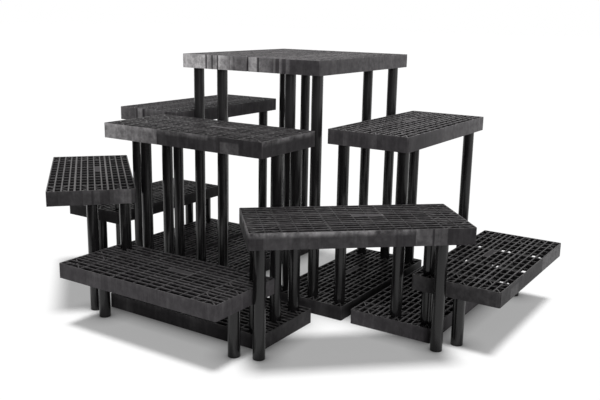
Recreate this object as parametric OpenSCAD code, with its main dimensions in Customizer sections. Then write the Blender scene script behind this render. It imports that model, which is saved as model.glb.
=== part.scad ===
// Set of slotted display decks on round posts, stepped up from a front tower to two tall wings.
// Millimetres, Z up, front towards -Y, origin on the floor under the middle of the set.

/* [Deck] */
// Height of a deck, from the bottom of its skirt to its top
deck_h = 69; // [60:1:90]
// Pitch of the openings along a deck
bay_l = 65; // [63:0.5:68]
// Pitch of the wide rows of openings
row_w = 32.8; // [31:0.2:34.4]
// Pitch of the narrow rows of openings
row_n = 27; // [25:0.5:30]
// Thickness of the skirt round a deck
skirt_t = 5; // [3:0.5:8]
// Outer radius of the corners of the skirt
corner_r = 7; // [6:0.5:15]

/* [Ribs] */
// Thickness of the ribs that run along a deck
rib_t = 6.5; // [4:0.5:9]
// Thickness of the ribs that run across a deck
cross_t = 5.5; // [4:0.5:9]
// Thickness of the deep ribs
main_t = 9; // [6:0.5:12]
// Depth of the common ribs below the top
rib_h = 13; // [9:0.5:16]
// Depth of the deep ribs beside the sockets
end_h = 48; // [36:1:52]
// Step from the underside of a deck up to the other deep ribs
main_rise = 6; // [2:0.5:10]
// Step from the top down to the ribs across
cross_drop = 1.5; // [0.5:0.5:5]
// Thickness of the slanting ribs at a socket
gusset_t = 5; // [3:0.5:8]
// Depth of the slanting ribs
gusset_h = 9; // [8:0.5:11]
// Step from the top down to the slanting ribs
gusset_drop = 1; // [0.5:0.5:4]

/* [Posts] */
// Outer diameter of a post
post_d = 54; // [46:1:58]
// Wall of a post
post_t = 4; // [2:0.5:8]
// Bevel on the outer edge of both ends of a post
post_edge = 1.5; // [0.5:0.5:1.5]
// Gap between a post and its socket, on the radius
socket_clear = 0.4; // [0.2:0.1:1]
// Wall of a socket
boss_t = 8; // [5:0.5:10]
// Step from the top down to the rim of a socket
rim_drop = 8; // [4:0.5:8]
// Depth of a socket from the underside of a deck
socket_depth = 30; // [20:1:34]
// Thickness of the web that a post stands against
web_t = 6; // [4:0.5:10]

/* [Layout] */
// Height from one deck top to the next
level_h = 304.8; // [240:0.2:420]
// Gap between the two top decks
top_gap = 6; // [2:1:16]

/* [Hidden] */
$fn = 96;
// Overshoot of a cutter past a face
eps = 1;

// Grid of a deck: openings along it, and blocks of wide rows across it with narrow rows between them
bays = 14;
block_rows = 3;
gap_rows = 2;
block = [for (j = [1 : block_rows]) row_w];
between = [for (j = [1 : gap_rows]) row_n];
rows = concat(block, between, block, between, block);
row_count = len(rows);
// Lines of the grid that carry deep ribs, the skirt at each end, and those that go down to the rise
deep_bays = [0, 2, 5, bays - 5, bays - 2, bays];
main_bays = [0, 5, bays - 5, bays];
deep_rows = [0, block_rows + 1, row_count - block_rows - 1, row_count];
// The closed pad: the bay lines it lies between, from the middle on, and its row, next to the middle one
pad_bays = [bays / 2, bays - 5];
pad_row = (row_count + 1) / 2;

function sum_to(v, n) = n <= 0 ? 0 : v[n - 1] + sum_to(v, n - 1);
function has(v, n) = len(search(n, v)) > 0;
grid_l = bays * bay_l;
grid_w = sum_to(rows, row_count);
function bay_x(i) = i * bay_l - grid_l / 2;
function row_y(j) = sum_to(rows, j) - grid_w / 2;
function bay_wall(i) = i == 0 || i == bays ? skirt_t : has(deep_bays, i) ? main_t : cross_t;
function row_wall(j) = j == 0 || j == row_count ? skirt_t : has(deep_rows, j) ? main_t : rib_t;
deck_l = grid_l + skirt_t;
deck_w = grid_w + skirt_t;

// Heights inside a deck, from its underside
grid_z = deck_h - rib_h;
end_z = deck_h - end_h;
groove_z = deck_h - cross_drop;
stand_z = socket_depth + web_t;

// Sockets: on the first bay line from each end, in a column under each block of wide rows
socket_x = bay_x(bays - 1);
socket_y = block_rows * row_w + gap_rows * row_n;
bore_r = post_d / 2 + socket_clear;
boss_r = bore_r + boss_t;
sockets = [for (i = [-1, 1], j = [-1, 0, 1]) [i, j]];

// Wings: column and middle of the inner base, set so that the turned decks reach from tower to wing
wing_x = (deck_w + top_gap) / 2 + socket_y;
bridge = 2 * socket_x;
bridge_dx = wing_x + 4 * socket_y - socket_x;
bridge_dy = sqrt(bridge * bridge - bridge_dx * bridge_dx);
bridge_turn = atan2(bridge_dy, bridge_dx);
wing_y = bridge_dy + socket_x - socket_y;
// Middle of a turned deck, and its two legs on the middle column
along = [cos(bridge_turn), sin(bridge_turn)];
across = [-sin(bridge_turn), cos(bridge_turn)];
bridge_at = [socket_x, -socket_y] + socket_x * along - socket_y * across;
// Middle of the whole set, front to back
mid_y = (wing_y + deck_l / 2 - 2 * socket_y - deck_w / 2) / 2;

// Levels: 0 is a base on the floor; a post ends under one web and stands on another or on the floor
floor_level = -1;
function top_of(n) = n == 0 ? deck_h : n * level_h;
function foot_of(n) = n == floor_level ? 0 : top_of(n) - deck_h + stand_z;
function head_of(n) = top_of(n) - deck_h + socket_depth;

// Decks: name, middle, turn, level, hand, sockets open on top
wing_open = [for (i = [-1, 1], j = [-1, 0]) [i, j]];
function wing_decks(side, s) = [
    [str("base_", side, "_inner"), [s * wing_x, wing_y], 90, 0, s, sockets],
    [str("base_", side, "_outer"), [s * (wing_x + 3 * socket_y), wing_y], 90, 0, s, wing_open],
    [str("low_deck_", side), [s * (wing_x + 5 * socket_y), wing_y], 90, 1, s, [[-1, 1]]],
    [str("mid_deck_", side), [s * bridge_at[0], bridge_at[1]],
        s > 0 ? bridge_turn : 180 - bridge_turn, 2, s, []],
    [str("high_deck_", side), [s * (wing_x + 2 * socket_y), wing_y], 90, 3, s, []],
    [str("top_deck_", side), [s * (wing_x - socket_y), wing_y], 90, 4, s, []]
];
tower_decks = [
    ["base_front", [0, 0], 0, 0, 1, sockets],
    ["low_deck_front", [0, -2 * socket_y], 0, 1, 1, [[-1, 1], [1, 1]]],
    ["high_deck_front", [0, 0], 0, 3, 1, []]
];
decks = concat(tower_decks, wing_decks("right", 1), wing_decks("left", -1));

// Posts: name, place, level it stands on, level it carries
function pair(name, column, low, high, s) = [for (i = [0, 1])
    [str(name, "_", i + 1), [s * (wing_x + column * socket_y), wing_y + (2 * i - 1) * socket_x], low, high]];
function legs(name, s) = [for (i = [0, 1])
    let (p = bridge_at + (2 * i - 1) * socket_x * along)
    [str(name, "_", i + 1), [s * p[0], p[1]], floor_level, 2]];
function wing_posts(side, s) = concat(
    pair(str("top_post_", side, "_inner"), -1, 0, 4, s),
    pair(str("top_post_", side, "_outer"), 0, 0, 4, s),
    pair(str("high_post_", side, "_inner"), 1, 0, 3, s),
    pair(str("high_post_", side, "_outer"), 3, 0, 3, s),
    pair(str("low_post_", side), 4, 0, 1, s),
    pair(str("low_leg_", side), 5, floor_level, 1, s),
    legs(str("mid_leg_", side), s),
    [[str("mid_post_", side), [s * (wing_x + 4 * socket_y), wing_y - socket_x], 1, 2]]
);
function tower_pair(name, column, low, high) = [for (i = [0, 1])
    [str(name, "_", i + 1), [(2 * i - 1) * socket_x, column * socket_y], low, high]];
tower_posts = concat(
    tower_pair("high_post_front", 0, 0, 3),
    tower_pair("high_post_front_back", 1, 0, 3),
    tower_pair("low_post_front", -1, 0, 1),
    tower_pair("mid_post_front", -1, 1, 2),
    tower_pair("low_leg_front", -2, floor_level, 1)
);
posts = concat(tower_posts, wing_posts("right", 1), wing_posts("left", -1));

// Outline of the skirt
module outline() {
    square([deck_l - 2 * corner_r, deck_w], center = true);
    square([deck_l, deck_w - 2 * corner_r], center = true);
    for (x = [-1, 1], y = [-1, 1])
        translate([x * (deck_l / 2 - corner_r), y * (deck_w / 2 - corner_r)])
            circle(corner_r);
}

// Space between two lines of bays and two lines of rows
module cell(i0, i1, j0, j1, z0, z1) {
    x0 = bay_x(i0) + bay_wall(i0) / 2;
    x1 = bay_x(i1) - bay_wall(i1) / 2;
    y0 = row_y(j0) + row_wall(j0) / 2;
    y1 = row_y(j1) - row_wall(j1) / 2;
    translate([x0, y0, z0])
        cube([x1 - x0, y1 - y0, z1 - z0]);
}

// Spaces between the deep ribs that stand on some of the bay lines
module between_ribs(lines, z0, z1)
    for (i = [0 : len(lines) - 2], j = [0 : len(deep_rows) - 2])
        cell(lines[i], lines[i + 1], deep_rows[j], deep_rows[j + 1], z0, z1);

// Hollow under a deck: one space inside the skirt, then those between the deeper and the deep ribs
module hollow() {
    cell(0, bays, 0, row_count, -eps, main_rise);
    between_ribs(main_bays, main_rise - eps, end_z);
    between_ribs(deep_bays, end_z - eps, grid_z);
}

// Openings, and the grooves above the ribs across, all but the pad
module openings(pad_j) {
    for (i = [0 : bays - 1], j = [0 : row_count - 1])
        if (j != pad_j || i < pad_bays[0] || i >= pad_bays[1])
            cell(i, i + 1, j, j + 1, grid_z - eps, groove_z);
    for (j = [0 : row_count - 1])
        for (span = j != pad_j ? [[0, bays]] : [[0, pad_bays[0]], [pad_bays[1], bays]])
            cell(span[0], span[1], j, j + 1, groove_z, deck_h + eps);
}

// Slanting rib from a socket to a corner of its block of openings
module gusset(x, y) {
    start = bore_r + boss_t / 2;
    end = norm([x, y]) - skirt_t / 2;
    rotate([0, 0, atan2(y, x)])
        translate([start, -gusset_t / 2, deck_h - gusset_drop - gusset_h])
            cube([end - start, gusset_t, gusset_h]);
}

// Socket: a ring under the ribs, down to the underside of the deck, with a web inside it
module socket() {
    difference() {
        cylinder(r = boss_r, h = deck_h - rim_drop);
        translate([0, 0, -eps])
            cylinder(r = bore_r, h = socket_depth + eps);
        translate([0, 0, stand_z])
            cylinder(r = bore_r, h = deck_h);
    }
    for (x = [-1, 1], y = [-1, 1])
        gusset(x * bay_l, y * block_rows * row_w / 2);
}

module deck(hand, open) color("dimgray") {
    pad_j = hand > 0 ? pad_row : row_count - 1 - pad_row;
    difference() {
        union() {
            difference() {
                linear_extrude(deck_h) outline();
                hollow();
                openings(pad_j);
            }
            for (s = sockets)
                translate([s[0] * socket_x, s[1] * socket_y, 0])
                    socket();
        }
        for (s = open)
            translate([s[0] * socket_x, hand * s[1] * socket_y, stand_z])
                cylinder(r = bore_r, h = deck_h);
    }
}

module post(h) color("black") difference() {
    r = post_d / 2;
    union() {
        cylinder(r1 = r - post_edge, r2 = r, h = post_edge);
        translate([0, 0, post_edge])
            cylinder(r = r, h = h - 2 * post_edge);
        translate([0, 0, h - post_edge])
            cylinder(r1 = r, r2 = r - post_edge, h = post_edge);
    }
    translate([0, 0, -eps])
        cylinder(r = r - post_t, h = h + 2 * eps);
}

for (d = decks)
    translate([d[1][0], d[1][1] - mid_y, top_of(d[3]) - deck_h])
            rotate([0, 0, d[2]])
                deck(d[4], d[5]);
for (p = posts)
    translate([p[1][0], p[1][1] - mid_y, foot_of(p[2])])
            post(head_of(p[3]) - foot_of(p[2]));
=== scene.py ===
import math

import bmesh
import bpy
from mathutils import Matrix, Vector


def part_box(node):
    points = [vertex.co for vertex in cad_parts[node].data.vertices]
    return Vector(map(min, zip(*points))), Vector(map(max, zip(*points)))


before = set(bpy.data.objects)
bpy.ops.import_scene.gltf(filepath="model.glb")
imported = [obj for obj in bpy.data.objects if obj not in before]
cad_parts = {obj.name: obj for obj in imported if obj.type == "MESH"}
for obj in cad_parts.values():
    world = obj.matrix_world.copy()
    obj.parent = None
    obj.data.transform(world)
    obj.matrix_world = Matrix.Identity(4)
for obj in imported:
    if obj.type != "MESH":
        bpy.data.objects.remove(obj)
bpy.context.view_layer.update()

# Viewpoint: a standing photographer's, in front of the right-hand wing and a little above the
# top decks. The lens is a normal one, and the frame sits a few pixels off the lens's middle.
photo_wide, photo_high = 600, 400
eye = Vector((2.3001, -3.1178, 1.4271))
eye_yaw, eye_pitch, eye_roll = math.radians(33.21), math.radians(13.16), math.radians(0.988)
lens_pixels = 784.2
lens_middle = (295.75, 196.82)
film_width = 36.0

camera_data = bpy.data.cameras.new("photographer")
camera_data.sensor_width = film_width
camera_data.lens = lens_pixels * film_width / photo_wide
camera_data.shift_x = (photo_wide / 2 - lens_middle[0]) / photo_wide
camera_data.shift_y = (lens_middle[1] - photo_high / 2) / photo_wide
camera = bpy.data.objects.new("photographer", camera_data)
camera.matrix_world = (
    Matrix.Translation(eye)
    @ Matrix.Rotation(eye_yaw, 4, "Z")
    @ Matrix.Rotation(math.pi / 2 - eye_pitch, 4, "X")
    @ Matrix.Rotation(eye_roll, 4, "Z")
)
bpy.context.scene.collection.objects.link(camera)
bpy.context.scene.camera = camera
bpy.context.scene.view_settings.view_transform = "Standard"


# Studio: a white sweep with a lamp of its own high above it, which throws the decks' shadows down
# on it. A softbox hangs over the set, weak lamps stand low in front of it and behind it, and a
# black curtain, seen only in gloss, keeps the posts dark.
def node(tree, kind, inputs=None, **settings):
    """Adds a node to a tree; each input takes a plain value or another node's output."""
    made = tree.nodes.new(kind)
    for name, value in settings.items():
        setattr(made, name, value)
    for name, value in (inputs or {}).items():
        if isinstance(value, bpy.types.NodeSocket):
            tree.links.new(value, made.inputs[name])
        else:
            made.inputs[name].default_value = value
    return made


def maths(tree, operation, a, b=0.0, **settings):
    """One sum on two values."""
    return node(tree, "ShaderNodeMath", {0: a, 1: b}, operation=operation, **settings).outputs[0]


def fresh_tree(owner):
    """Empties the node tree of a material or world and returns it."""
    owner.use_nodes = True
    owner.node_tree.nodes.clear()
    return owner.node_tree


def seen_directly(tree):
    """1 on rays that show the background itself: from the camera, in gloss or through glass."""
    path = node(tree, "ShaderNodeLightPath").outputs
    either = maths(tree, "MAXIMUM", path["Is Camera Ray"], path["Is Glossy Ray"])
    return maths(tree, "MAXIMUM", either, path["Is Transmission Ray"])


def studio_sheets(name, lays):
    """Studio furniture: one object of flat sheets, a two-metre square for each placing."""
    sheets = bmesh.new()
    for lay in lays:
        bmesh.ops.create_grid(sheets, x_segments=1, y_segments=1, size=1.0, matrix=lay)
    mesh = bpy.data.meshes.new(name)
    sheets.to_mesh(mesh)
    sheets.free()
    made = bpy.data.objects.new(name, mesh)
    bpy.context.scene.collection.objects.link(made)
    mesh.materials.append(bpy.data.materials.new(name))
    return made, fresh_tree(mesh.materials[0])


def black_cloth(tree):
    """Fills a studio sheet's material with dead black."""
    cloth = node(tree, "ShaderNodeBsdfDiffuse", {"Color": (0, 0, 0, 1)})
    node(tree, "ShaderNodeOutputMaterial", {"Surface": cloth.outputs[0]})


room_light = 0.08
world = bpy.data.worlds.new("white_room")
bpy.context.scene.world = world
tree = fresh_tree(world)
strength = node(tree, "ShaderNodeMapRange",
                {"Value": seen_directly(tree), "To Min": room_light, "To Max": 1.0}).outputs[0]
room = node(tree, "ShaderNodeBackground", {"Color": (1, 1, 1, 1), "Strength": strength})
node(tree, "ShaderNodeOutputWorld", {"Surface": room.outputs[0]})

# The sweep glows a little, less in the nooks under the bases, which is painted shade, and looks grey to the
# set itself
floor_reach = 60.0
floor_white = (0.62, 0.62, 0.62, 1)
floor_grey = (0.40, 0.40, 0.40, 1)
floor_glow = 0.365
nook_depth, nook_fall = 0.12, 2.0
floor, tree = studio_sheets("floor", [Matrix.Diagonal((floor_reach, floor_reach, 1, 1))])
nook = node(tree, "ShaderNodeAmbientOcclusion", {"Distance": nook_depth}, samples=8).outputs["AO"]
spill = maths(tree, "MULTIPLY", maths(tree, "POWER", nook, nook_fall), floor_glow)
white = node(tree, "ShaderNodeBsdfDiffuse", {"Color": floor_white})
glow = node(tree, "ShaderNodeEmission", {"Color": (1, 1, 1, 1), "Strength": spill})
glowing = node(tree, "ShaderNodeAddShader", {0: white.outputs[0], 1: glow.outputs[0]})
dim = node(tree, "ShaderNodeBsdfDiffuse", {"Color": floor_grey})
shown = node(tree, "ShaderNodeMixShader",
             {"Fac": seen_directly(tree), 1: dim.outputs[0], 2: glowing.outputs[0]})
node(tree, "ShaderNodeOutputMaterial", {"Surface": shown.outputs[0]})

curtain_middle = (1.5, -1.9, 3.0)
curtain_reach = (8.0, 3.0)
upended = Matrix.Rotation(math.pi / 2, 4, "X")
hung = Matrix.Translation(curtain_middle) @ upended @ Matrix.Diagonal((*curtain_reach, 1, 1))
curtain, tree = studio_sheets("curtain", [hung])
black_cloth(tree)
curtain.visible_camera = curtain.visible_diffuse = False
curtain.visible_transmission = curtain.visible_shadow = False


def hang(name, kind, lay, on_floor, **settings):
    """A lamp for the floor alone or for all but the floor."""
    data = bpy.data.lights.new(name, kind)
    for setting, value in settings.items():
        setattr(data, setting, value)
    lamp = bpy.data.objects.new(name, data)
    lamp.matrix_world = lay
    bpy.context.scene.collection.objects.link(lamp)
    lit = bpy.data.collections.new(name + "_lights")
    lit.objects.link(floor)
    lit.collection_objects[0].light_linking.link_state = "INCLUDE" if on_floor else "EXCLUDE"
    lamp.light_linking.receiver_collection = lit
    return lamp


def from_afar(height, bearing):
    """Turns a far lamp to a height above the horizon and a bearing from the front, to the right."""
    tipped = Matrix.Rotation(math.radians(90 - height), 4, "X")
    return Matrix.Rotation(math.radians(bearing), 4, "Z") @ tipped


sweep_lamp = hang("sweep_lamp", "SUN", from_afar(height=86, bearing=50), on_floor=True,
                  energy=3.1, angle=math.radians(12))
softbox_place = (0.3, -0.2, 2.85)
hang("softbox", "AREA", Matrix.Translation(softbox_place), on_floor=False, energy=60.0, size=1.8)
hang("front_lamp", "SUN", from_afar(height=10, bearing=45), on_floor=False,
     energy=1.45, angle=math.radians(30))
# The back lamp stays out of the gloss, so that the deck tops don't glare
back_lamp = hang("back_lamp", "SUN", from_afar(height=12, bearing=215), on_floor=False,
                 energy=1.5, angle=math.radians(30))
back_lamp.visible_glossy = False


# Decks: one shelf moulding used for every tier and, laid on the floor, for the bases. Black
# polypropylene, cloudy with regrind, with pale blushes where the skirt cooled beside a deep rib.
# The same pale panels also carry painted glare and sheen.
deck_names = sorted(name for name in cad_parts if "deck" in name or name.startswith("base_"))


def box_of(name):
    """A node's middle and size in metres."""
    low, high = (Vector(corner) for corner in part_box(name))
    return (low + high) / 2, high - low


deck_long, deck_wide, deck_high = box_of("base_front")[1]


def deck_turn(name):
    """How far a deck is turned about the vertical, from the box that it fills."""
    size = box_of(name)[1]
    spread = deck_long ** 2 - deck_wide ** 2
    along = (deck_long * size.x - deck_wide * size.y) / spread
    across = (deck_long * size.y - deck_wide * size.x) / spread
    turn = math.atan2(across, along)
    return math.pi - turn if name == "mid_deck_left" else turn


def group(name, inputs, outputs):
    """An empty shader node group, the sockets that it is given and those that it puts out."""
    made = bpy.data.node_groups.new(name, "ShaderNodeTree")
    for label, kind in inputs.items():
        made.interface.new_socket(label, in_out="INPUT", socket_type=kind)
    for label, kind in outputs.items():
        made.interface.new_socket(label, in_out="OUTPUT", socket_type=kind)
    return made, made.nodes.new("NodeGroupInput").outputs, made.nodes.new("NodeGroupOutput").inputs


def place(tree, shared, inputs):
    """Puts a shared group in a tree and returns its outputs."""
    return node(tree, "ShaderNodeGroup", inputs, node_tree=shared).outputs


def axes(tree, vector):
    """The three parts of a vector."""
    return node(tree, "ShaderNodeSeparateXYZ", {0: vector}).outputs


def ramp(tree, value, low, high, to_low=0.0, to_high=1.0):
    """Maps a value smoothly from one span to another."""
    return node(tree, "ShaderNodeMapRange",
                {"Value": value, "From Min": low, "From Max": high, "To Min": to_low, "To Max": to_high},
                interpolation_type="SMOOTHSTEP").outputs[0]


def noise(tree, vector, scale, detail, roughness):
    """A cloudy pattern from 0 to 1."""
    return node(tree, "ShaderNodeTexNoise", {"Vector": vector, "Scale": scale, "Detail": detail,
                                             "Roughness": roughness}).outputs[0]


def blend(tree, amount, first, second):
    """Mixes two colours."""
    return node(tree, "ShaderNodeMix", {0: amount, 6: first, 7: second}, data_type="RGBA").outputs[2]


VECTOR, VALUE = "NodeSocketVector", "NodeSocketFloat"

# Mould grain: the fine matt texture of the tool, and the broad unevenness of a cooling wall
fine_share = 0.25
grain, given, put = group("mould_grain", {"Point": VECTOR}, {"Height": VALUE, "Mottle": VALUE})
fine = noise(grain, given["Point"], scale=900.0, detail=3.0, roughness=0.6)
broad = noise(grain, given["Point"], scale=14.0, detail=2.0, roughness=0.5)
mottle = noise(grain, given["Point"], scale=26.0, detail=6.0, roughness=0.7)
grain.links.new(maths(grain, "ADD", maths(grain, "MULTIPLY", fine, fine_share), broad), put["Height"])
grain.links.new(ramp(grain, mottle, 0.35, 0.7), put["Mottle"])

# Dust: lies on what faces up, thicker in drifts
dust, given, put = group("settled_dust", {"Point": VECTOR, "Facing": VECTOR}, {"Mask": VALUE})
up = ramp(dust, axes(dust, given["Facing"])["Z"], 0.5, 0.95)
drifts = noise(dust, given["Point"], scale=9.0, detail=5.0, roughness=0.65)
thick = ramp(dust, drifts, 0.3, 0.75, to_low=0.35, to_high=1.0)
dust.links.new(maths(dust, "MULTIPLY", up, thick), put["Mask"])

# Flow marks: upright streaks and pale clouds in a skirt, from the plastic filling the tool, and
# the rubbed edge along its top
skirt_depth, skirt_fade = 0.004, 0.0008
rub_low, rub_high = deck_high * 0.1, deck_high * 0.5
streak_draw = 0.12
marks, given, put = group("flow_marks", {"Point": VECTOR, "Facing": VECTOR, "Seed": VALUE},
                          {"Along": VALUE, "Skirt": VALUE, "Streaks": VALUE, "Clouds": VALUE,
                           "Rub": VALUE, "Height": VALUE})
at, face = axes(marks, given["Point"]), axes(marks, given["Facing"])
on_end = maths(marks, "GREATER_THAN", maths(marks, "ABSOLUTE", face["X"]),
               maths(marks, "ABSOLUTE", face["Y"]))
on_side = maths(marks, "SUBTRACT", 1.0, on_end)
along = maths(marks, "ADD", maths(marks, "MULTIPLY", at["X"], on_side),
              maths(marks, "MULTIPLY", at["Y"], on_end))

end, side = deck_long / 2 - skirt_depth, deck_wide / 2 - skirt_depth
out_x = ramp(marks, maths(marks, "ABSOLUTE", at["X"]), end - skirt_fade, end)
out_y = ramp(marks, maths(marks, "ABSOLUTE", at["Y"]), side - skirt_fade, side)
upright = ramp(marks, maths(marks, "ABSOLUTE", face["Z"]), 0.3, 0.6, to_low=1.0, to_high=0.0)
skirt = maths(marks, "MULTIPLY", upright, maths(marks, "MAXIMUM", out_x, out_y))

# Each side of each deck cuts the pattern at a level of its own
side_step, deck_step = 1.9, 7.3
level = maths(marks, "ADD", maths(marks, "SIGN", face["X"]),
              maths(marks, "MULTIPLY", maths(marks, "SIGN", face["Y"]), side_step))
level = maths(marks, "ADD", level, maths(marks, "MULTIPLY", given["Seed"], deck_step))
laid = node(marks, "ShaderNodeCombineXYZ", {"X": along, "Y": at["Z"], "Z": level}).outputs[0]
squeezed = maths(marks, "MULTIPLY", at["Z"], streak_draw)
drawn = node(marks, "ShaderNodeCombineXYZ", {"X": along, "Y": squeezed, "Z": level}).outputs[0]
fibres = noise(marks, drawn, scale=42.0, detail=4.0, roughness=0.62)
clouds = noise(marks, drawn, scale=7.0, detail=3.0, roughness=0.5)
scrapes = noise(marks, laid, scale=16.0, detail=5.0, roughness=0.65)
rubbed = maths(marks, "MULTIPLY", ramp(marks, at["Z"], rub_low, rub_high), ramp(marks, scrapes, 0.3, 0.7))
marks.links.new(along, put["Along"])
marks.links.new(skirt, put["Skirt"])
for label, pattern in (("Streaks", ramp(marks, fibres, 0.45, 0.72)),
                       ("Clouds", ramp(marks, clouds, 0.5, 0.8)),
                       ("Rub", rubbed),
                       ("Height", fibres)):
    marks.links.new(maths(marks, "MULTIPLY", skirt, pattern), put[label])

# Blush and painted glare: a pale cloudy panel in one side of the skirt, between two places along it and up
# to a height, with a soft edge all round. Part of it is the plastic's own blush, part painted glare and
# sheen.
start_fade, stop_fade, top_fade = 0.004, 0.008, 0.006
blush_and_glare, given, put = group("blush_and_glare_panel",
                          {"Point": VECTOR, "Facing": VECTOR, "Side": VECTOR,
                           "Along": VALUE, "Skirt": VALUE, "Start": VALUE, "Stop": VALUE,
                           "First": VALUE, "Last": VALUE, "Rise": VALUE},
                          {"Mask": VALUE})
span = maths(blush_and_glare, "SUBTRACT", given["Stop"], given["Start"])
length = maths(blush_and_glare, "ABSOLUTE", span)
share = maths(blush_and_glare, "DIVIDE", maths(blush_and_glare, "SUBTRACT", given["Along"], given["Start"]), span)
done = maths(blush_and_glare, "MULTIPLY", share, length)
to_go = maths(blush_and_glare, "SUBTRACT", length, done)
inside = maths(blush_and_glare, "MULTIPLY", ramp(blush_and_glare, done, 0.0, start_fade), ramp(blush_and_glare, to_go, 0.0, stop_fade))
over_top = maths(blush_and_glare, "SUBTRACT", axes(blush_and_glare, given["Point"])["Z"], given["Rise"])
below = ramp(blush_and_glare, over_top, -top_fade, top_fade, to_low=1.0, to_high=0.0)
pale = node(blush_and_glare, "ShaderNodeMapRange",
            {"Value": share, "To Min": given["First"], "To Max": given["Last"]}).outputs[0]
cloudy = ramp(blush_and_glare, noise(blush_and_glare, given["Point"], scale=34.0, detail=4.0, roughness=0.6),
              0.3, 0.7, to_low=0.55, to_high=1.4)
faced = node(blush_and_glare, "ShaderNodeVectorMath", {0: given["Facing"], 1: given["Side"]},
             operation="DOT_PRODUCT").outputs["Value"]
mask = maths(blush_and_glare, "MULTIPLY", given["Skirt"], ramp(blush_and_glare, faced, 0.6, 0.8))
for factor in (inside, below, pale, cloudy):
    mask = maths(blush_and_glare, "MULTIPLY", mask, factor)
blush_and_glare.links.new(mask, put["Mask"])

# Pad: the closed plate among the openings is spark-eroded, so duller than the ribs round it
pad_middle, pad_half, pad_fade = (0.065, 0.0328), (0.064, 0.0145), (0.003, 0.002)
pad_plate, given, put = group("pad_plate", {"Point": VECTOR, "Hand": VALUE}, {"Mask": VALUE})
at = axes(pad_plate, given["Point"])
across = maths(pad_plate, "MULTIPLY", at["Y"], given["Hand"])
covers = []
for value, middle, half, fade in zip((at["X"], across), pad_middle, pad_half, pad_fade):
    off = maths(pad_plate, "ABSOLUTE", maths(pad_plate, "SUBTRACT", value, middle))
    covers.append(ramp(pad_plate, off, half - fade, half, to_low=1.0, to_high=0.0))
pad_plate.links.new(maths(pad_plate, "MULTIPLY", *covers), put["Mask"])

# Wear, painted light and painted shade: the long ribs are rubbed on top, and painted light fades a few
# millimetres down their walls. The lower cross ribs and the inside of the openings get painted shade.
wear_and_light_depth = (0.0008, 0.005)
cross_depth = (0.0012, 0.00145)
inside_depth = (0.003, 0.009)
wear_light_and_shade, given, put = group("rib_wear_light_and_shade", {"Point": VECTOR, "Facing": VECTOR, "Skirt": VALUE},
                         {"RubbedAndLit": VALUE, "CrossShade": VALUE, "Inside": VALUE})
face = axes(wear_light_and_shade, given["Facing"])
depth = maths(wear_light_and_shade, "SUBTRACT", deck_high / 2, axes(wear_light_and_shade, given["Point"])["Z"])
patchy = ramp(wear_light_and_shade, noise(wear_light_and_shade, given["Point"], scale=26.0, detail=6.0, roughness=0.75),
              0.32, 0.68, to_low=0.15, to_high=1.35)
rubbed = maths(wear_light_and_shade, "MULTIPLY", ramp(wear_light_and_shade, depth, *wear_and_light_depth, to_low=1.0, to_high=0.0), patchy)
cross_top = maths(wear_light_and_shade, "MULTIPLY", ramp(wear_light_and_shade, face["Z"], 0.05, 0.3), ramp(wear_light_and_shade, depth, *cross_depth))
cross_side = ramp(wear_light_and_shade, maths(wear_light_and_shade, "ABSOLUTE", face["X"]), 0.3, 0.6)
lower = maths(wear_light_and_shade, "MAXIMUM", cross_top, cross_side)
off_skirt = maths(wear_light_and_shade, "SUBTRACT", 1.0, given["Skirt"])
for label, mask in (("RubbedAndLit", rubbed), ("CrossShade", lower), ("Inside", ramp(wear_light_and_shade, depth, *inside_depth))):
    wear_light_and_shade.links.new(maths(wear_light_and_shade, "MULTIPLY", mask, off_skirt), put[label])

mould_black = (0.046, 0.043, 0.046, 1)
# Painted shade for the openings and the lower cross ribs
painted_shade_black = (0.018, 0.017, 0.018, 1)
pad_grey = (0.080, 0.076, 0.079, 1)
# Grey of the rubbed rib tops, also painted light on them
worn_and_lit_grey = (0.20, 0.191, 0.195, 1)
regrind_grey = (0.090, 0.085, 0.089, 1)
# Pale of the blushes, also painted glare and sheen
blush_and_glare_grey = (0.66, 0.64, 0.65, 1)
dust_grey = (0.12, 0.117, 0.114, 1)
mottle_share, streak_share, cloud_share, dust_share, fibre_share = 0.45, 0.5, 0.05, 0.25, 0.6
plastic_ior = 1.49
deck_rough = (0.40, 0.56)
deck_gloss = 0.05

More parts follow.
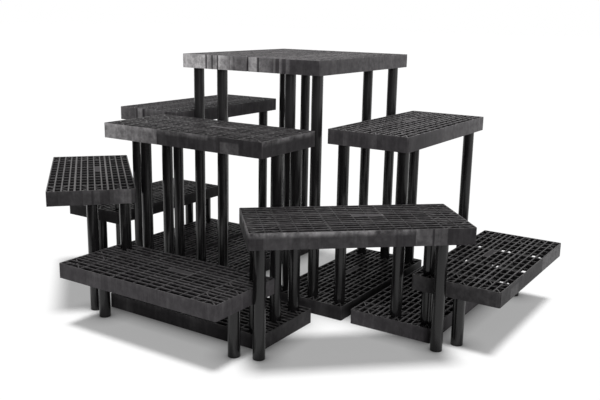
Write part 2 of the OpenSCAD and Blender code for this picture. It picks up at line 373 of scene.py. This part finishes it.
# Pale panels, partly the plastic's blushes and partly painted glare and sheen, that show: side of the deck,
# two places along it from its middle, paleness at each place and the height of the panel's top, either the
# whole skirt or most of it
FRONT, RIGHT, LEFT = (0, -1, 0), (1, 0, 0), (-1, 0, 0)
full, part = 0.05, 0.014
panels = {
    "top_deck_left": [(LEFT, 0.212, 0.050, 0.80, 0.85, full), (LEFT, 0.046, 0.011, 0.75, 0.30, full),
                      (LEFT, 0.008, -0.024, 0.35, 0.75, full), (LEFT, -0.026, -0.125, 0.95, 0.05, full),
                      (LEFT, -0.100, -0.212, 0.18, 0.16, full)],
    "top_deck_right": [(LEFT, 0.212, 0.145, 0.45, 0.60, full), (LEFT, 0.139, 0.045, 0.34, 0.02, full),
                       (LEFT, 0.054, 0.036, 0.20, 0.05, full), (LEFT, 0.022, 0.002, 0.22, 0.05, full),
                       (LEFT, -0.016, -0.044, 0.20, 0.02, full), (FRONT, -0.470, 0.470, 0.05, 0.15, full)],
    "high_deck_left": [(LEFT, 0.212, 0.080, 0.18, 0.10, full), (LEFT, 0.076, 0.034, 0.34, 0.30, full),
                       (LEFT, 0.024, -0.130, 0.12, 0.15, full)],
    "high_deck_right": [(FRONT, -0.300, 0.480, 0.01, 0.20, full), (LEFT, 0.122, 0.092, 0.06, 0.03, full),
                        (LEFT, -0.004, -0.056, 0.02, 0.06, full)],
    "high_deck_front": [(FRONT, -0.122, -0.480, 0.21, 0.55, full), (FRONT, 0.235, 0.340, 0.12, 0.08, part)],
    "mid_deck_left": [(LEFT, 0.042, -0.002, 0.04, 0.04, full), (LEFT, -0.006, -0.040, 0.04, 0.04, full),
                      (LEFT, -0.080, -0.185, 0.03, 0.10, full)],
    "mid_deck_right": [(FRONT, -0.400, 0.130, 0.03, 0.03, full), (FRONT, 0.205, 0.278, 0.12, 0.12, full),
                       (FRONT, 0.281, 0.340, 0.10, 0.08, full)],
    "low_deck_front": [(FRONT, -0.275, -0.180, 0.03, 0.03, full)],
    "low_deck_right": [(LEFT, -0.212, 0.212, 0.055, 0.045, full), (FRONT, -0.330, -0.215, 0.11, 0.09, part),
                       (FRONT, 0.131, 0.500, 0.16, 0.15, full)],
    "base_right_outer": [(FRONT, -0.470, 0.470, 0.03, 0.03, full)],
    "base_front": [(RIGHT, -0.210, 0.210, 0.03, 0.03, full)],
}
# How grey a deck's plastic is, where it differs from the rest: partly its own tone and partly painted
# light and shade, darker for the decks that stand in the shade of others
batch_tone_and_shade = {"mid_deck_left": 0.6, "low_deck_left": 0.35, "mid_deck_right": 0.7, "high_deck_front": 0.7,
         "base_front": 0.45, "base_right_inner": 0.4, "base_right_outer": 1.3, "low_deck_front": 1.4,
         "low_deck_right": 0.42}
# How rubbed the top edge of its skirt is, and where along the skirt the rubbing ends
rubs = {"mid_deck_right": 0.62, "high_deck_front": 0.38}
usual_rub = 0.04
rub_ends = {"mid_deck_right": 0.18, "high_deck_front": 0.18}
rub_fade = 0.05
# How far the tops of its ribs are rubbed to grey, partly painted light and sheen
worn_and_lit = {"top_deck_left": 0.63, "top_deck_right": 0.84, "high_deck_right": 0.48, "mid_deck_left": 0.44,
        "mid_deck_right": 0.43, "high_deck_left": 0.03, "low_deck_right": 0.43}
usual_worn_and_lit = 0.27
# How much painted shade its openings get, less where the low lamp reaches into them, and its lower cross
# ribs
inside_shade_share = {"mid_deck_right": 0.45}
cross_shade_share = {"mid_deck_right": 0.8}
usual_cross_shade = 0.38


def deck_plastic(name, seed):
    """The deck moulding's finish, set out in the deck's own directions."""
    made = bpy.data.materials.new(name + "_plastic")
    tree = fresh_tree(made)
    turn = deck_turn(name)
    hand = -1.0 if "left" in name else 1.0
    coord = node(tree, "ShaderNodeTexCoord").outputs
    point = node(tree, "ShaderNodeMapping",
                 {"Vector": coord["Object"], "Location": box_of(name)[0], "Rotation": (0, 0, turn)},
                 vector_type="TEXTURE").outputs[0]
    facing = node(tree, "ShaderNodeVectorRotate", {"Vector": coord["Normal"], "Angle": -turn},
                  rotation_type="Z_AXIS").outputs[0]
    spot = {"Point": point, "Facing": facing}
    texture = place(tree, grain, {"Point": point})
    plate = place(tree, pad_plate, {"Point": point, "Hand": hand})
    lying = place(tree, dust, spot)
    flow = place(tree, marks, {**spot, "Seed": float(seed)})
    ribs = place(tree, wear_light_and_shade, {**spot, "Skirt": flow["Skirt"]})

    haze = maths(tree, "ADD", maths(tree, "MULTIPLY", texture["Mottle"], mottle_share),
                 maths(tree, "MULTIPLY", flow["Streaks"], streak_share), use_clamp=True)
    rub_end = rub_ends.get(name, deck_long)
    kept = ramp(tree, flow["Along"], rub_end, rub_end + rub_fade, to_low=1.0, to_high=0.0)
    rub = maths(tree, "MULTIPLY", maths(tree, "MULTIPLY", flow["Rub"], kept), rubs.get(name, usual_rub))
    pale = maths(tree, "ADD", maths(tree, "MULTIPLY", flow["Clouds"], cloud_share), rub)
    # Each panel adds pale, partly blush and partly painted glare and sheen
    for side, start, stop, first, last, rise in panels.get(name, []):
        panel = place(tree, blush_and_glare, {**spot, "Side": side, "Along": flow["Along"], "Skirt": flow["Skirt"],
                                    "Start": start, "Stop": stop, "First": first, "Last": last,
                                    "Rise": rise})
        pale = maths(tree, "ADD", pale, panel["Mask"])
    cloudy = ramp(tree, haze, 0.0, 1.0, to_low=0.8, to_high=1.3)
    pale = maths(tree, "MULTIPLY", pale, cloudy, use_clamp=True)

    # Painted shade in the openings and on the lower cross ribs, painted light on the rib tops
    inside = maths(tree, "MULTIPLY", ribs["Inside"], inside_shade_share.get(name, 1.0))
    rubbed = maths(tree, "MULTIPLY", ribs["RubbedAndLit"], worn_and_lit.get(name, usual_worn_and_lit))
    dusty = maths(tree, "MULTIPLY", lying["Mask"], dust_share)
    cross_rib_shade = maths(tree, "MULTIPLY", ribs["CrossShade"], cross_shade_share.get(name, usual_cross_shade))
    # Each deck's tone, partly painted light and shade
    shade = batch_tone_and_shade.get(name, 1.0)
    tint = Vector((shade, shade, shade, 1))
    colour = blend(tree, haze, Vector(mould_black) * tint, Vector(regrind_grey) * tint)
    for amount, cover in ((pale, blush_and_glare_grey), (inside, painted_shade_black), (rubbed, worn_and_lit_grey),
                          (dusty, dust_grey), (cross_rib_shade, painted_shade_black), (plate["Mask"], pad_grey)):
        colour = blend(tree, amount, colour, cover)

    rough = maths(tree, "MAXIMUM", ramp(tree, haze, 0.0, 1.0, *deck_rough), plate["Mask"])
    height = maths(tree, "ADD", texture["Height"], maths(tree, "MULTIPLY", flow["Height"], fibre_share))
    bump = node(tree, "ShaderNodeBump", {"Height": height, "Strength": 0.35, "Distance": 0.002})
    skin = node(tree, "ShaderNodeBsdfPrincipled",
                {"Base Color": colour, "Roughness": rough, "Normal": bump.outputs[0],
                 "IOR": plastic_ior, "Specular IOR Level": deck_gloss})
    node(tree, "ShaderNodeOutputMaterial", {"Surface": skin.outputs[0]})
    return made


def dress(piece, material):
    """Gives a CAD node its finish."""
    piece.data.materials.clear()
    piece.data.materials.append(material)


edge_round = 0.0012
join_within = 0.00002
flat_within, sharp_from = math.radians(0.5), math.radians(40)


def soften(piece):
    """Joins a node's loose triangles, clears the flat faces of them and rounds its edges."""
    piece.modifiers.new("join", "WELD").merge_threshold = join_within
    flat = piece.modifiers.new("clear", "DECIMATE")
    flat.decimate_type = "DISSOLVE"
    flat.angle_limit = flat_within
    edges = piece.modifiers.new("round", "BEVEL")
    edges.width = edge_round
    edges.segments = 2
    edges.limit_method = "ANGLE"
    edges.angle_limit = sharp_from
    edges.harden_normals = True


for seed, name in enumerate(deck_names):
    dress(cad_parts[name], deck_plastic(name, seed))
    soften(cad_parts[name])


# Posts: lengths of drawn black tube, each pushed into a socket under one deck and stood on the
# web of another or on the floor. Smoother than the decks, with lines along the draw and scuffs,
# and with painted light making the tallest lighter where they stand clear of the other decks.
post_black = (0.007, 0.0066, 0.007, 1)
scuff_grey = (0.024, 0.023, 0.024, 1)
# Painted light on the upper posts
lit_top_grey = (0.027, 0.026, 0.027, 1)
lit_from, lit_to = 0.70, 1.05
line_draw = 0.03
line_share, scuff_share = 0.35, 0.5
post_rough = (0.19, 0.34)
post_gloss = 0.36

tube = bpy.data.materials.new("post_plastic")
tree = fresh_tree(tube)
coord = node(tree, "ShaderNodeTexCoord").outputs["Object"]
lengthwise = node(tree, "ShaderNodeMapping", {"Vector": coord, "Scale": (1, 1, line_draw)}).outputs[0]
lines = noise(tree, lengthwise, scale=260.0, detail=4.0, roughness=0.6)
lined = maths(tree, "MULTIPLY", ramp(tree, lines, 0.4, 0.75), line_share)
scuffs = ramp(tree, noise(tree, coord, scale=18.0, detail=8.0, roughness=0.75), 0.58, 0.8)
scuffed = maths(tree, "MULTIPLY", scuffs, scuff_share)
# Painted light: the posts turn lighter from 0.7 m up
colour = blend(tree, ramp(tree, axes(tree, coord)["Z"], lit_from, lit_to), post_black, lit_top_grey)
colour = blend(tree, lined, colour, scuff_grey)
colour = blend(tree, scuffed, colour, scuff_grey)
rough = ramp(tree, scuffs, 0.0, 1.0, *post_rough)
bump = node(tree, "ShaderNodeBump", {"Height": lines, "Strength": 0.12, "Distance": 0.001})
skin = node(tree, "ShaderNodeBsdfPrincipled",
            {"Base Color": colour, "Roughness": rough, "Normal": bump.outputs[0],
             "IOR": plastic_ior, "Specular IOR Level": post_gloss})
node(tree, "ShaderNodeOutputMaterial", {"Surface": skin.outputs[0]})

posts = [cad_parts[name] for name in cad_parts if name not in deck_names]
for post in posts:
    dress(post, tube)


# Shade cards: studio props, a black card inside each deck, so that the lamps throw the shadow of
# the whole deck and no dapples. The camera and reflections don't see them.
card_inset = 0.02
half_card = 0.02
lays = []
for name in deck_names:
    # The two top decks stand edge to edge, and so do their cards
    inset = 0.0 if name.startswith("top_") else card_inset
    reach, inner = deck_long / 2 - inset, deck_wide / 2 - inset
    # The low deck at the far left has a card in its inner half only, so the floor beside it stays white
    outer = half_card if name == "low_deck_left" else inner
    off_middle, half = (outer - inner) / 2, (outer + inner) / 2
    cut = Matrix.Translation((0, off_middle, 0)) @ Matrix.Diagonal((reach, half, 1, 1))
    lays.append(Matrix.Translation(box_of(name)[0]) @ Matrix.Rotation(deck_turn(name), 4, "Z") @ cut)
cards, tree = studio_sheets("shade_cards", lays)
black_cloth(tree)
cards.visible_camera = cards.visible_glossy = cards.visible_transmission = False

# On the sweep, only the cards and the posts cast shadows
casters = bpy.data.collections.new("sweep_lamp_casters")
for piece in [cards, *posts]:
    casters.objects.link(piece)
for member in casters.collection_objects:
    member.light_linking.link_state = "INCLUDE"
sweep_lamp.light_linking.blocker_collection = casters
